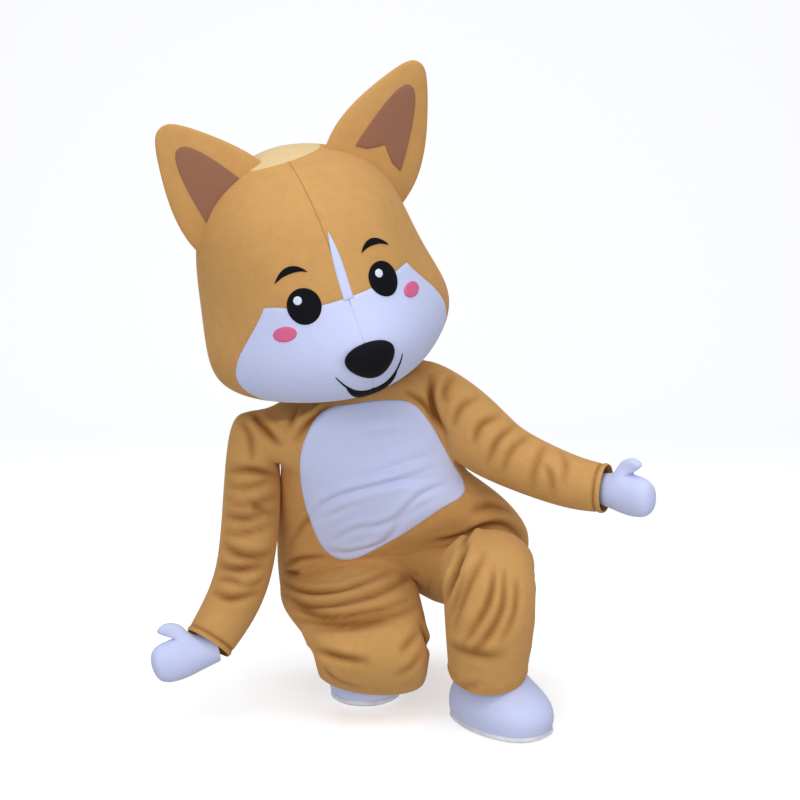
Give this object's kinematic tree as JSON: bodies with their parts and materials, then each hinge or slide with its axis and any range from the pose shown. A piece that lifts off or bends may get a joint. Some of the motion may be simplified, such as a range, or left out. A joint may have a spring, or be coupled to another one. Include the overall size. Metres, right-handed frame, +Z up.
{
  "type": "dog mascot costume, worn and crouching",
  "caption": "Plush dog mascot costume, worn and crouching: hollow head with ears and stitched face, body suit, mittens and padded shoes.",
  "frame": {"origin": "middle of the suit's neck opening, where the wearer holds the costume up", "axes": "+Z up, -Y the front, +X the wearer's left"},
  "size_m": [1.1237, 0.67, 1.4802],
  "materials": {
    "tan_plush": "short-pile tan plush",
    "pale_plush": "short-pile pale tan plush",
    "white_plush": "short-pile white plush",
    "brown_plush": "short-pile brown plush",
    "pink_plush": "pink plush applique",
    "black_cloth": "smooth black cloth with a soft sheen",
    "glint_cloth": "white cloth applique",
    "sole_rubber": "matt moulded sole"
  },
  "bodies": {
    "root": {"torso_front": "tan_plush", "torso_back_left": "tan_plush", "torso_back_right": "tan_plush", "sleeve_left": "tan_plush", "sleeve_right": "tan_plush", "leg_left_front": "tan_plush", "leg_left_back": "tan_plush", "leg_right_front": "tan_plush", "leg_right_back": "tan_plush", "belly_patch": "white_plush", "crown": "pale_plush", "head_back_left": "tan_plush", "head_back_right": "tan_plush", "head_front_left": "tan_plush", "head_front_right": "tan_plush", "mask_left": "white_plush", "mask_right": "white_plush", "blaze": "white_plush", "ear_left_front": "tan_plush", "ear_left_back": "tan_plush", "ear_left_inner": "brown_plush", "eye_left": "black_cloth", "eye_glint_left": "glint_cloth", "brow_left": "black_cloth", "cheek_left": "pink_plush", "glove_left": "white_plush", "shoe_left": "white_plush", "sole_left": "sole_rubber", "ear_right_front": "tan_plush", "ear_right_back": "tan_plush", "ear_right_inner": "brown_plush", "eye_right": "black_cloth", "eye_glint_right": "glint_cloth", "brow_right": "black_cloth", "cheek_right": "pink_plush", "glove_right": "white_plush", "shoe_right": "white_plush", "sole_right": "sole_rubber", "nose": "black_cloth", "smile": "black_cloth", "mouth": "black_cloth"}
  },
  "joints": []
}
